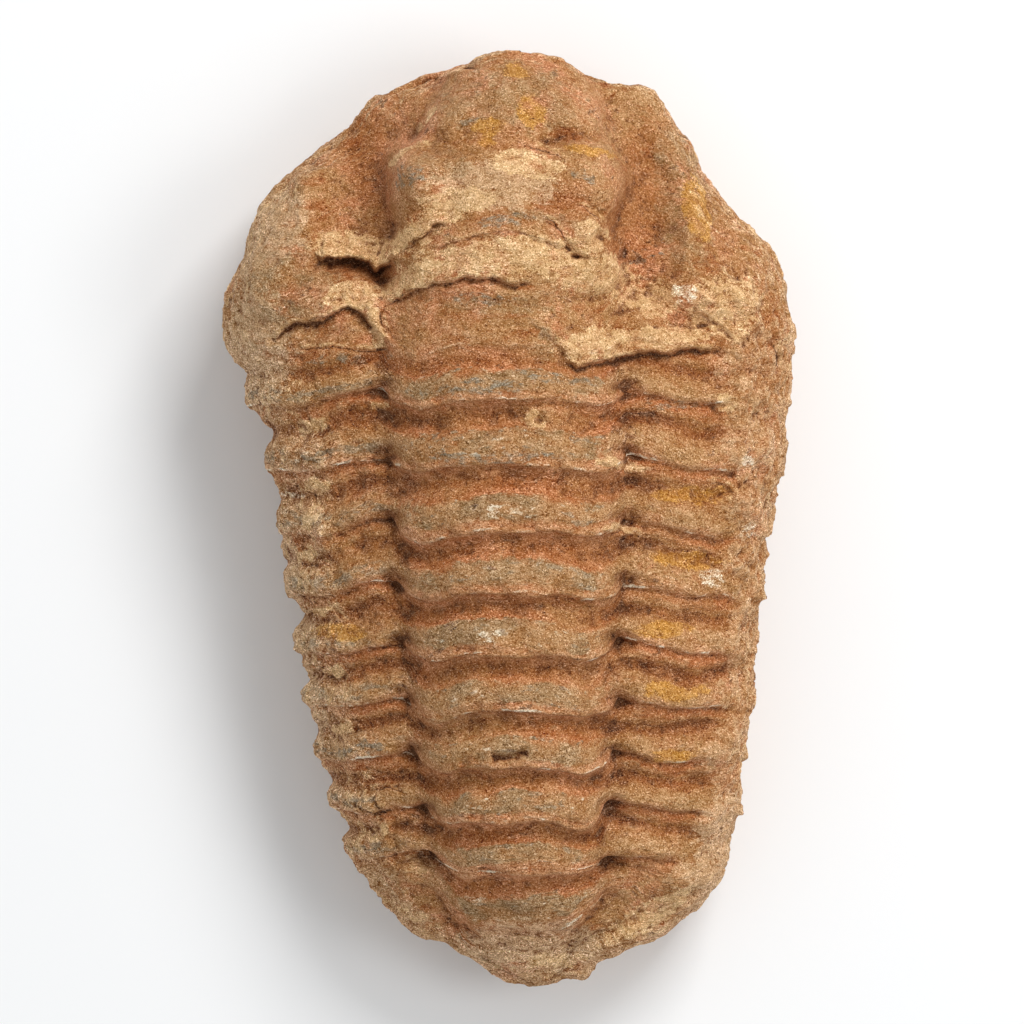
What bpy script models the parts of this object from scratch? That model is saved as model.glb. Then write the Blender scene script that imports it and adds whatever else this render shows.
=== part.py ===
# Calymene trilobite fossil: one weathered stone with the animal's back in relief.
# The head points along +Y, the back is up, and the stone lies on the flat cut under it.
# Sizes and places are in millimetres until the finished mesh is scaled to metres.

import bmesh
import bpy
import numpy as np
from mathutils import Matrix, Vector, noise

LENGTH = 100.0
HALF = LENGTH / 2

# The outline seen from above, from head to tail: (y, x of the left edge, x of the right edge).
OUTLINE = [
    (HALF, 1.8, 1.8),
    (49.2, -2.6, 6.7),
    (48.0, -4.0, 8.6),
    (47.2, -9.2, 11.0),
    (46.4, -10.8, 14.6),
    (46.0, -11.8, 15.2),
    (43.8, -15.2, 16.8),
    (42.4, -15.9, 17.8),
    (39.5, -18.9, 20.2),
    (36.0, -23.9, 22.1),
    (33.6, -25.9, 24.2),
    (28.8, -27.7, 28.6),
    (24.6, -29.7, 30.1),
    (20.3, -30.2, 30.6),
    (14.0, -27.6, 30.1),
    (7.5, -24.9, 29.5),
    (3.2, -24.1, 28.4),
    (-5.0, -23.8, 27.3),
    (-14.0, -21.5, 26.1),
    (-22.4, -20.2, 25.6),
    (-31.0, -18.3, 24.2),
    (-37.0, -16.1, 22.9),
    (-40.6, -13.6, 20.5),
    (-42.2, -12.2, 18.8),
    (-43.4, -10.9, 17.9),
    (-44.6, -9.2, 16.8),
    (-45.7, -6.2, 14.5),
    (-47.2, -4.0, 9.5),
    (-48.6, -1.8, 9.0),
    (-49.4, -0.2, 8.0),
    (-HALF, 3.9, 3.9),
]

# The side profile: (y, height of the widest level, rise of the back, drop of the belly).
PROFILE = [
    (HALF, 14.0, 0.0, 0.0),
    (48.5, 13.2, 3.2, 5.0),
    (46.0, 12.4, 5.8, 8.0),
    (41.0, 11.4, 9.4, 11.4),
    (34.0, 11.0, 12.9, 13.0),
    (24.0, 11.3, 15.4, 13.8),
    (8.0, 11.8, 15.8, 14.2),
    (-10.0, 11.6, 15.2, 14.0),
    (-26.0, 10.8, 13.2, 13.0),
    (-38.0, 9.8, 10.2, 11.4),
    (-45.0, 9.0, 6.6, 8.6),
    (-48.6, 8.6, 3.2, 5.0),
    (-HALF, 8.6, 0.0, 0.0),
]
BACK_ROUNDING = 0.8
BELLY_ROUNDING = 0.72

# The furrows beside the raised middle lobe: (y, x of the left furrow, x of the right furrow).
AXIS = [
    (HALF, -11.6, 12.4),
    (26.0, -13.4, 12.4),
    (6.0, -12.9, 13.1),
    (-13.0, -11.4, 12.3),
    (-30.0, -9.2, 11.4),
    (-40.0, -7.2, 10.4),
    (-44.0, -5.4, 8.6),
    (-48.0, -1.2, 6.0),
    (-HALF, 3.4, 4.4),
]
AXIS_RISE = [(-HALF, 0.0), (-46.0, 1.4), (-40.0, 3.2), (-28.0, 5.0), (20.0, 5.2), (27.0, 3.4),
             (36.0, 1.2), (44.0, 0.0)]
AXIS_FLATNESS = 2.4
AXIS_SIDES = 1.25

# The rings of the body. Each ends in a rear edge, and each is a little shorter than the last.
NECK_PITCH = 5.6
FIRST_EDGE = 12.6
FIRST_PITCH = 7.1
PITCH_TAPER = 0.965
RINGS = 8
LAST_EDGE = -44.0
RING_RELIEF = 1.8
RIB_RELIEF = 1.4
RELIEF_FADES = [(-48.0, 0.5), (-42.0, 0.75), (-34.0, 1.0), (20.0, 1.0)]
# How far an edge lies forward across the lobe, from the middle (0) to the furrow beside it (1),
# how far the rings of the tail curve forward at their ends, per square millimetre off the middle,
# and how far the ribs beside them lie forward.
EDGE_SHAPE = [(0.0, 0.15), (0.4, -0.05), (0.7, -0.75), (0.86, -0.3), (1.0, 1.2)]
TAIL_BEND = [(-46.0, 0.04), (-40.0, 0.037), (-35.2, 0.008), (-30.0, 0.003), (-22.0, 0.0), (20.0, 0.0)]
RIB_LEAD = [(-46.0, 2.0), (-37.0, 1.1), (-31.0, 0.9), (-25.0, 0.6), (-15.0, 0.0), (-5.0, -0.4), (20.0, -0.5)]
LAST_RIB = -35.5
# Height along one ring and along one rib, from the edge before it (0) to its own edge (1).
RING_SHAPE = [(0.0, 0.5), (0.05, 0.2), (0.15, 0.02), (0.21, 0.0), (0.31, 0.07), (0.41, 0.34), (0.51, 0.66),
              (0.61, 0.87), (0.73, 0.97), (0.86, 1.0), (0.95, 0.9), (1.0, 0.5)]
RIB_SHAPE = [(0.0, 0.6), (0.06, 0.42), (0.15, 0.38), (0.25, 0.22), (0.35, 0.0), (0.45, 0.06), (0.56, 0.4),
             (0.68, 0.75), (0.8, 0.95), (0.9, 1.0), (0.97, 0.9), (1.0, 0.6)]
# How far the ends of the ribs stand out of the two sides, and where along each rib.
STAND_OUT = (0.85, 0.6)
LEFT_ENDS = [(0.0, 0.42), (0.3, 0.1), (0.38, 0.0), (0.46, 0.3), (0.6, 1.0), (0.75, 0.85), (1.0, 0.42)]
RIGHT_ENDS = [(0.0, 0.95), (0.04, 0.1), (0.1, 0.0), (0.4, 0.3), (0.8, 0.75), (0.97, 1.0), (1.0, 0.95)]
END_MEAN = 0.45

# Where the furrow beside the middle lobe meets the gap between two rings, there is a pit.
PIT_AHEAD = 1.2
PIT_HALF_WIDTH = 2.0
PIT_HALF_LENGTH = 1.5
PIT_DEPTH = 1.4

# The nose lobe, which stands out of the head with steep sides: its corners seen from above.
NOSE_LOBE = [(-12.6, 23.5), (-12.9, 27.6), (-11.2, 31.2), (-12.2, 33.8), (-12.4, 36.6), (-11.4, 39.2),
             (-9.4, 40.8), (-8.2, 43.0), (-7.2, 45.4), (-6.2, 47.4), (-4.0, 51.0), (6.0, 51.2),
             (8.2, 47.6), (9.8, 45.6), (10.4, 43.2), (10.0, 40.8), (12.0, 38.8), (12.9, 36.2),
             (11.8, 33.4), (10.8, 30.4), (12.4, 27.2), (12.2, 23.6)]
NOSE_RISE = 2.4
NOSE_SIDE = 1.2
NOSE_FADES = [(22.0, 0.0), (31.0, 1.0), (42.0, 1.0), (HALF, 0.4)]

# Lumps and hollows: (x, y, half width, half length, height, turn in degrees).
LUMPS = [
    (0.3, 38.0, 11.0, 12.0, 3.6, 0),       # the crown of the nose lobe
    (0.6, 46.5, 7.0, 5.0, 1.4, 0),         # its front end
    (-9.6, 36.8, 2.9, 3.3, 3.3, 10),       # left rear lobe
    (8.8, 36.0, 3.8, 3.6, 2.8, -10),       # right rear lobe
    (-6.4, 43.6, 2.6, 2.2, 1.7, 30),       # left front lobe
    (7.6, 43.6, 3.4, 2.2, 1.6, -22),       # right front lobe
    (-22.0, 28.5, 6.0, 8.0, 1.3, -28),     # left cheek
    (8.8, 30.8, 2.0, 1.9, 1.0, 0),         # small arch on the right of the neck
    (24.6, 22.4, 4.6, 3.6, 1.2, -20),      # block of rock on the right
    (-12.6, 25.2, 2.3, 1.6, -1.5, 25),     # deep end of the left crevice
    (10.1, 29.6, 1.0, 0.9, -1.8, 0),       # round pit in the arch
    (20.5, 20.8, 3.4, 2.0, -0.9, 0),       # dip above the rock ledge
]

# Furrows and ridges along a line: (points, half width, height).
FOLDS = [
    # the broad furrows between the nose lobe and the cheeks
    ([(-8.4, 47.0), (-12.2, 43.4), (-15.4, 38.6), (-16.2, 34.0), (-15.4, 29.6)], 4.0, -2.6),
    ([(10.4, 46.4), (13.4, 42.2), (15.2, 37.0), (15.7, 31.0), (14.6, 26.0)], 3.6, -2.6),
    # the clefts between the side lobes
    ([(4.4, 40.2), (6.2, 40.7), (8.2, 40.6), (10.0, 40.0)], 0.9, -1.8),
    ([(-11.4, 41.0), (-7.8, 40.0)], 1.3, -0.9),
    # the rims of the cheeks
    ([(-11.0, 45.6), (-16.2, 41.0), (-21.2, 35.4), (-24.6, 29.6), (-26.4, 24.0)], 2.6, 1.2),
    ([(10.8, 46.0), (14.8, 43.2), (18.2, 38.6), (20.3, 33.6), (20.8, 28.6), (20.2, 24.6)], 3.2, 1.3),
]

# Ledges, each with its points from left to right: the stone stands proud before the line and
# drops behind it. (points, height before, reach before, drop behind, reach behind)
LEDGES = [
    ([(-20.4, 28.6), (-19.7, 28.0), (-17.5, 28.1), (-15.9, 27.7), (-13.8, 27.0), (-11.8, 27.8)],
     1.0, 3.2, 2.5, 2.4),                  # the lip over the left crevice
    ([(-11.8, 27.8), (-9.5, 29.4), (-7.4, 30.8), (-5.2, 31.8)], 0.3, 2.0, 0.6, 1.4),
    ([(-8.8, 27.6), (-5.8, 29.5), (-2.0, 30.2), (1.2, 30.2), (5.4, 29.1), (9.7, 27.4)],
     0.3, 1.6, 0.4, 0.9),                  # front edge of the neck ring
    ([(-13.5, 22.3), (-11.6, 23.2), (-9.5, 23.8), (-7.4, 24.6), (-4.2, 25.1), (-1.0, 25.3), (3.6, 25.2)],
     0.6, 2.0, 0.9, 1.3),                  # rear edge of the neck ring
    ([(-25.4, 18.8), (-23.2, 20.7), (-21.3, 21.4), (-19.1, 21.4), (-17.5, 22.0), (-15.9, 22.3),
      (-15.2, 21.8)], 0.6, 2.2, 1.0, 1.5),                  # rear edge of the left cheek
    ([(3.6, 21.0), (5.4, 18.7), (6.3, 17.3), (7.6, 16.5), (9.7, 16.9), (14.0, 17.4), (16.1, 17.9),
      (20.4, 18.7), (22.4, 19.9)], 1.2, 3.4, 0.6, 1.1),  # the rock ledge on the right
]
LEDGE_BLUNTNESS = 0.4
LEDGE_FADE = 2.2                           # from each end of a line

# The crust of rock over the rib ends on the right: (y, x of its inner border).
CRUST_BORDER = [(24.0, 21.0), (16.0, 23.4), (3.0, 24.6), (-10.0, 24.0), (-22.0, 23.2),
                (-33.0, 21.2), (-40.0, 17.0), (-44.5, 12.0), (-48.0, 7.0)]
CRUST_RISE = 0.7

# Unevenness of the stone: (size of the lumps, their height on the back, and on the belly).
UNEVENNESS = [(13.0, 0.7, 1.5), (4.2, 0.3, 0.5)]
NOISE_OCTAVES = 3
# The belly grows even towards the table, so that the cut there is one broad face.
EVEN_BELOW = 4.5

# A fine mesh is shaped first, and the solid keeps the faces that carry its form.
SEGMENTS_ROUND = 240
STATIONS = 320
SLOW_AT_TIPS = 0.14
SHARE_OF_BACK = 0.68
FACES_KEPT = 10300
TO_METRES = 0.001

STONE_COLOUR = (0.45, 0.26, 0.13, 1.0)
STONE_ROUGHNESS = 0.9


def smooth_step(low, high, value):
    """Rises from 0 at low to 1 at high."""
    t = np.clip((value - low) / (high - low), 0, 1)
    return t * t * (3 - 2 * t)


def through(knots, at):
    """Reads the smooth curve through (position, value) knots, which never overshoots them."""
    position, value = np.array(sorted(knots), float).T
    slope = np.diff(value) / np.diff(position)
    product = slope[:-1] * slope[1:]
    total = np.where(product > 0, slope[:-1] + slope[1:], 1)
    tangent = np.concatenate([slope[:1], np.where(product > 0, 2 * product / total, 0), slope[-1:]])
    at = np.clip(at, position[0], position[-1])
    i = np.clip(np.searchsorted(position, at) - 1, 0, len(position) - 2)
    width = position[i + 1] - position[i]
    t = (at - position[i]) / width
    bend = width * t * (1 - t) * ((1 - t) * tangent[i] - t * tangent[i + 1])
    step = t * t * (3 - 2 * t)
    return value[i] * (1 - step) + value[i + 1] * step + bend


def lump(x, y, centre_x, centre_y, half_width, half_length, height, turn):
    """A round swelling, or a hollow where its height is below zero."""
    cosine, sine = np.cos(np.radians(turn)), np.sin(np.radians(turn))
    u = ((x - centre_x) * cosine + (y - centre_y) * sine) / half_width
    v = ((y - centre_y) * cosine - (x - centre_x) * sine) / half_length
    return height * (1 - smooth_step(0, 1.6, np.hypot(u, v)))


def line_distance(x, y, points):
    """The distance to a line of points, the side (above 0 on the left of its direction), and the
    way along the line to its nearer end."""
    nearest = np.full(x.shape, np.inf)
    side = np.zeros(x.shape)
    way = np.zeros(x.shape)
    lengths = np.hypot(*np.diff(points, axis=0).T)
    for number, ((ax, ay), (bx, by)) in enumerate(zip(points[:-1], points[1:])):
        dx, dy = bx - ax, by - ay
        t = np.clip(((x - ax) * dx + (y - ay) * dy) / (dx * dx + dy * dy), 0, 1)
        distance = np.hypot(x - ax - t * dx, y - ay - t * dy)
        closer = distance < nearest
        nearest = np.where(closer, distance, nearest)
        side = np.where(closer, dx * (y - ay) - dy * (x - ax), side)
        way = np.where(closer, lengths[:number].sum() + t * lengths[number], way)
    return nearest, side, np.minimum(way, lengths.sum() - way)


def fold(x, y, points, half_width, height):
    """A ridge along a line, or a furrow where its height is below zero."""
    distance, _, _ = line_distance(x, y, points)
    return height * (1 - smooth_step(0, 1.6, distance / half_width))


def ledge(x, y, points, height, reach, drop, reach_behind):
    """Swells towards the line on its upper side and drops sharply on its lower side."""
    distance, side, way = line_distance(x, y, points)
    before = height * (1 - smooth_step(0, 1.6, distance / reach))
    behind = -drop * (1 - smooth_step(0, 1.6, distance / reach_behind))
    over_edge = smooth_step(-LEDGE_BLUNTNESS, LEDGE_BLUNTNESS, np.sign(side) * distance)
    return (behind + (before - behind) * over_edge) * smooth_step(0, LEDGE_FADE, way)


def plateau(x, y, corners, height, side_width):
    """A raised area inside a closed line of corners, with sloping sides."""
    distance, _, _ = line_distance(x, y, corners + corners[:1])
    inside = np.zeros(x.shape, bool)
    for (ax, ay), (bx, by) in zip(corners, corners[1:] + corners[:1]):
        crosses = (ay > y) != (by > y)
        inside ^= crosses & (x < ax + (bx - ax) * (y - ay) / (by - ay))
    return height * smooth_step(-side_width, side_width, np.where(inside, distance, -distance))


def ring_edges():
    """The y of each rear edge on the middle line, from the neck to the tail."""
    edges = [FIRST_EDGE + 2 * NECK_PITCH, FIRST_EDGE + NECK_PITCH, FIRST_EDGE]
    edges += [FIRST_EDGE - FIRST_PITCH * (1 - PITCH_TAPER**n) / (1 - PITCH_TAPER)
              for n in range(1, RINGS + 1)]
    return edges + [LAST_EDGE, -HALF]


def axis_at(y):
    """The middle of the raised lobe and half its width."""
    left = through([(row[0], row[1]) for row in AXIS], y)
    right = through([(row[0], row[2]) for row in AXIS], y)
    return (left + right) / 2, (right - left) / 2


def ring_relief(x, y, facing_up):
    """The rings of the middle lobe and the ribs beside them, which run on down the flanks."""
    middle, half_width = axis_at(y)
    across = np.abs(x - middle) / half_width
    bend = through(TAIL_BEND, y) * (x - middle) ** 2 + through(EDGE_SHAPE, across)
    beside = smooth_step(1, 1.7, across)
    lead = bend * (1 - beside) + through(RIB_LEAD, y) * beside
    edges = np.array(ring_edges())
    count = np.interp(lead - y, -edges, np.arange(len(edges)))
    along = count % 1
    grown = smooth_step(0.4, 2.2, count) * smooth_step(-48.5, -45, y)
    on_axis = 1 - smooth_step(0.8, 1.06, across)
    crust = smooth_step(-1.6, 0.6, x - through(CRUST_BORDER, y)) * (1 - smooth_step(17, 24, y))
    on_flank = (0.4 + 0.6 * np.clip(facing_up, 0, 1)) * smooth_step(-0.8, -0.1, facing_up)
    on_flank = on_flank * (1 - crust) * smooth_step(LAST_RIB - 2.5, LAST_RIB, y)
    ring = RING_RELIEF * (through(RING_SHAPE, along) - 0.6) * through(RELIEF_FADES, y)
    rib = RIB_RELIEF * (through(RIB_SHAPE, along) - 0.6) * on_flank
    left, right = (far * (through(ends, along) - END_MEAN)
                   for far, ends in zip(STAND_OUT, (LEFT_ENDS, RIGHT_ENDS)))
    stand_out = np.where(x < middle, left, right) * (1 - smooth_step(0.1, 0.6, np.abs(facing_up)))
    stand_out = stand_out * smooth_step(1.2, 1.6, across) * smooth_step(-44, -38, y)
    on_top = CRUST_RISE * crust
    for edge in ring_edges()[2:-2]:
        u = (across - 1) * half_width / PIT_HALF_WIDTH
        v = (y - edge - PIT_AHEAD) / PIT_HALF_LENGTH
        on_top -= PIT_DEPTH * (1 - smooth_step(0, 1.6, np.hypot(u, v)))
    relief = grown * (on_axis * ring + (1 - on_axis) * rib + stand_out)
    return relief + on_top * smooth_step(-0.4, 0.2, facing_up)


def back_relief(x, y):
    """Everything else that stands on the plain back or is sunk into it."""
    middle, half_width = axis_at(y)
    across = np.clip(np.abs(x - middle) / half_width, 0, 1)
    relief = through(AXIS_RISE, y) * (1 - across**AXIS_FLATNESS) ** AXIS_SIDES
    relief += plateau(x, y, NOSE_LOBE, NOSE_RISE, NOSE_SIDE) * through(NOSE_FADES, y)
    relief += sum(lump(x, y, *place) for place in LUMPS)
    relief += sum(fold(x, y, *line) for line in FOLDS)
    relief += sum(ledge(x, y, *line) for line in LEDGES)
    return relief


def tip_pace(way):
    """Goes from 0 to 1 at a steady pace that starts and ends slowly."""
    start = way**2 / (2 * SLOW_AT_TIPS)
    end = 1 - SLOW_AT_TIPS - (1 - way) ** 2 / (2 * SLOW_AT_TIPS)
    steady = way - SLOW_AT_TIPS / 2
    pace = np.where(way < SLOW_AT_TIPS, start, np.where(way > 1 - SLOW_AT_TIPS, end, steady))
    return pace / (1 - SLOW_AT_TIPS)


def plain_stone(ball):
    """Moves the points of a unit ball with its poles on Y onto the stone without its relief."""
    way = np.arccos(np.clip(ball[:, 1], -1, 1)) / np.pi
    y = HALF * (1 - 2 * tip_pace(way))

    def read(rows, column):
        """Reads by the angle along the stone, so that curves run round at both tips."""
        return through([(np.arccos(row[0] / HALF), row[column]) for row in rows],
                       np.arccos(np.clip(y / HALF, -1, 1)))

    left, right = read(OUTLINE, 1), read(OUTLINE, 2)
    waist, rise, drop = read(PROFILE, 1), read(PROFILE, 2), read(PROFILE, 3)
    middle, _ = axis_at(y)

    from_top = np.abs(np.arctan2(ball[:, 0], ball[:, 2])) / np.pi
    on_back = from_top < SHARE_OF_BACK
    back_lean = from_top / SHARE_OF_BACK * np.pi / 2
    belly_lean = (1 - from_top) / (1 - SHARE_OF_BACK) * np.pi / 2
    lean = np.where(on_back, back_lean, belly_lean)
    power = np.where(on_back, BACK_ROUNDING, BELLY_ROUNDING)
    reach = np.where(ball[:, 0] > 0, right - middle, left - middle)
    x = middle + reach * np.clip(np.sin(lean), 0, 1) ** power
    z = waist + np.where(on_back, rise, -drop) * np.clip(np.cos(lean), 0, 1) ** power
    return np.column_stack([x, y, z])


def unevenness(points, facing_up):
    """Random lumps and chips, stronger on the belly than on the back."""
    total = np.zeros(len(points))
    on_belly = 1 - smooth_step(-0.5, 0.3, facing_up)
    above_cut = smooth_step(0, EVEN_BELOW, points[:, 2])
    for size, on_back, under in UNEVENNESS:
        rock = [noise.fractal(Vector(point) / size, 1, 2, NOISE_OCTAVES) for point in points]
        total += np.array(rock) * (on_back + (under - on_back) * on_belly) * above_cut
    return total


def shaped_mesh():
    """The fine mesh of the whole stone, still round below."""
    mesh = bpy.data.meshes.new("trilobite_fossil")
    body = bmesh.new()
    bmesh.ops.create_uvsphere(body, u_segments=SEGMENTS_ROUND, v_segments=STATIONS, radius=1)
    bmesh.ops.rotate(body, verts=body.verts, matrix=Matrix.Rotation(-np.pi / 2, 3, "X"))
    body.to_mesh(mesh)
    body.free()

    points = np.empty(3 * len(mesh.vertices))
    mesh.vertices.foreach_get("co", points)
    points = plain_stone(points.reshape(-1, 3))
    mesh.vertices.foreach_set("co", points.ravel())
    mesh.update()

    outward = np.empty(points.size)
    mesh.vertex_normals.foreach_get("vector", outward)
    outward = outward.reshape(-1, 3)
    x, y, facing_up = points[:, 0], points[:, 1], outward[:, 2]
    upwards = back_relief(x, y) * smooth_step(-0.1, 0.4, facing_up)
    outwards = ring_relief(x, y, facing_up) + unevenness(points, facing_up)
    points = points + outward * outwards[:, None]
    points[:, 2] += upwards
    mesh.vertices.foreach_set("co", points.ravel())
    mesh.update()
    return mesh


def thinned(fine):
    """A bmesh of the same form with fewer faces."""
    stone = bpy.data.objects.new("fine_stone", fine)
    bpy.context.collection.objects.link(stone)
    decimate = stone.modifiers.new("Decimate", "DECIMATE")
    decimate.ratio = FACES_KEPT / sum(len(face.vertices) - 2 for face in fine.polygons)
    body = bmesh.new()
    body.from_object(stone, bpy.context.evaluated_depsgraph_get())
    bpy.data.objects.remove(stone)
    return body


def cut_flat(body):
    """Cuts the belly off at the level of the table."""
    cut = bmesh.ops.bisect_plane(body, geom=body.verts[:] + body.edges[:] + body.faces[:],
                                 plane_co=(0, 0, 0), plane_no=(0, 0, 1), clear_inner=True)
    rim = [item for item in cut["geom_cut"] if isinstance(item, bmesh.types.BMEdge)]
    bmesh.ops.holes_fill(body, edges=rim)


def centred(body):
    """Scales to the true length in metres, with the box centred on X and Y."""
    places = np.array([vert.co for vert in body.verts])
    low, high = places.min(axis=0), places.max(axis=0)
    centre = (low + high) / 2
    bmesh.ops.translate(body, verts=body.verts, vec=(-centre[0], -centre[1], 0))
    size = TO_METRES * LENGTH / (high[1] - low[1])
    bmesh.ops.scale(body, verts=body.verts, vec=(size, size, size))


def stone_material():
    material = bpy.data.materials.new("fossil_stone")
    material.use_nodes = True
    shader = material.node_tree.nodes["Principled BSDF"]
    shader.inputs["Base Color"].default_value = STONE_COLOUR
    shader.inputs["Roughness"].default_value = STONE_ROUGHNESS
    shader.inputs["Metallic"].default_value = 0.0
    return material


def trilobite_fossil():
    fine = shaped_mesh()
    body = thinned(fine)
    cut_flat(body)
    centred(body)
    bmesh.ops.recalc_face_normals(body, faces=body.faces)
    mesh = bpy.data.meshes.new("trilobite_fossil")
    body.to_mesh(mesh)
    body.free()
    bpy.data.meshes.remove(fine)
    mesh.shade_smooth()
    mesh.materials.append(stone_material())
    fossil = bpy.data.objects.new("trilobite_fossil", mesh)
    bpy.context.collection.objects.link(fossil)


for old in list(bpy.data.objects):
    bpy.data.objects.remove(old)
trilobite_fossil()
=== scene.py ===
import bmesh
import bpy
import numpy as np
from math import cos, pi, radians, sin
from mathutils import Matrix, Vector, noise


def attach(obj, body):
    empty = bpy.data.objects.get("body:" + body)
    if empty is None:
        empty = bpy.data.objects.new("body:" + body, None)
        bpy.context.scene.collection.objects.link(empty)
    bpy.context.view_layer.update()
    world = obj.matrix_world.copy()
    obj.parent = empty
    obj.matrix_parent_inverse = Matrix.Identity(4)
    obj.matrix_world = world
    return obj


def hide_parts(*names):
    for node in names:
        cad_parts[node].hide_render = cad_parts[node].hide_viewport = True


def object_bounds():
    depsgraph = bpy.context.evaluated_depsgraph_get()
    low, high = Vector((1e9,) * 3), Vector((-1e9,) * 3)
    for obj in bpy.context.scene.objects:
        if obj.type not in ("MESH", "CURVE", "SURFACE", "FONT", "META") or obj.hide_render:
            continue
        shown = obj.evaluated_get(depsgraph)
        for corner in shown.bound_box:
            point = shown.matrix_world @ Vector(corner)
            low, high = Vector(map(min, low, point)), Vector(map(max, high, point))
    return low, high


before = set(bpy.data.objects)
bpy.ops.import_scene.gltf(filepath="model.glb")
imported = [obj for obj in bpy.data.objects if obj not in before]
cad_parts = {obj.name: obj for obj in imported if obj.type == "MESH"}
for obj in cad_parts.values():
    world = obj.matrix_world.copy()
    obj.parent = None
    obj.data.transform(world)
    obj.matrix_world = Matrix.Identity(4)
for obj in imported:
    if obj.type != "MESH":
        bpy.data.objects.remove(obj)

# A trilobite fossil in stone, seen from straight above. Its places and sizes are in millimetres,
# with the head towards +Y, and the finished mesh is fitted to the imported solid's box.

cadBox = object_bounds()
mm = 0.001

stone = {
    "half": 50.0,               # half the length
    # outline from above, head to tail: y, left edge, right edge
    "outline": [
        (50.0, 1.8, 1.8), (49.2, -2.6, 6.7), (48.0, -4.0, 8.6), (47.2, -9.2, 11.0),
        (46.4, -10.8, 14.6), (46.0, -11.8, 15.2), (43.8, -15.2, 16.8), (42.4, -15.9, 17.8),
        (39.5, -18.9, 20.2), (36.0, -23.9, 22.1), (33.6, -25.9, 24.2), (28.8, -27.7, 28.6),
        (24.6, -29.7, 30.1), (20.3, -30.2, 30.6), (14.0, -27.6, 30.1), (7.5, -24.9, 29.5),
        (3.2, -24.1, 28.4), (-5.0, -23.8, 27.3), (-14.0, -21.5, 26.1), (-22.4, -20.2, 25.6),
        (-31.0, -18.3, 24.2), (-37.0, -16.1, 22.9), (-40.6, -13.6, 20.5), (-42.2, -12.2, 18.8),
        (-43.4, -10.9, 17.9), (-44.6, -9.2, 16.8), (-45.7, -6.2, 14.5), (-47.2, -4.0, 9.5),
        (-48.6, -1.8, 9.0), (-49.4, -0.2, 8.0), (-50.0, 3.9, 3.9)],
    # side view: y, height of the widest level, rise of the back, drop of the belly
    "profile": [
        (50.0, 14.0, 0.0, 0.0), (48.5, 13.2, 3.2, 5.0), (46.0, 12.4, 5.8, 8.0),
        (41.0, 11.4, 9.4, 11.4), (34.0, 11.0, 12.9, 13.0), (24.0, 11.3, 15.4, 13.8),
        (8.0, 11.8, 15.8, 14.2), (-10.0, 11.6, 15.2, 14.0), (-26.0, 10.8, 13.2, 13.0),
        (-38.0, 9.8, 10.2, 11.4), (-45.0, 9.0, 6.6, 8.6), (-48.6, 8.6, 3.2, 5.0),
        (-50.0, 8.6, 0.0, 0.0)],
    "backRounding": 0.8,
    "bellyRounding": 0.72,
    "lumps": [(13.0, 0.7, 1.5), (4.2, 0.3, 0.5)],       # size, height on the back, on the belly
    "restsBelow": 0.9,          # the belly flattens out below this height
    "around": 140,              # columns and rows of the coarse mesh, the cuts of each edge
    "along": 120,
    "cuts": 4,
    "backShare": 0.74,
    "slowAtTips": 0.14,
    "triangles": 196000,
}

axis = {
    # the furrows beside the middle lobe: y, left, right
    "furrows": [
        (50.0, -11.6, 12.4), (26.0, -13.4, 12.4), (6.0, -12.9, 13.1), (-13.0, -11.4, 12.3),
        (-30.0, -9.2, 11.4), (-40.0, -7.2, 10.4), (-44.0, -5.4, 8.6), (-48.0, -1.2, 6.0),
        (-50.0, 3.4, 4.4)],
    "rise": [(-50.0, 0.0), (-46.0, 1.4), (-40.0, 3.2), (-28.0, 5.0), (20.0, 5.2), (27.0, 3.4),
             (36.0, 1.2), (44.0, 0.0)],
}

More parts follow.
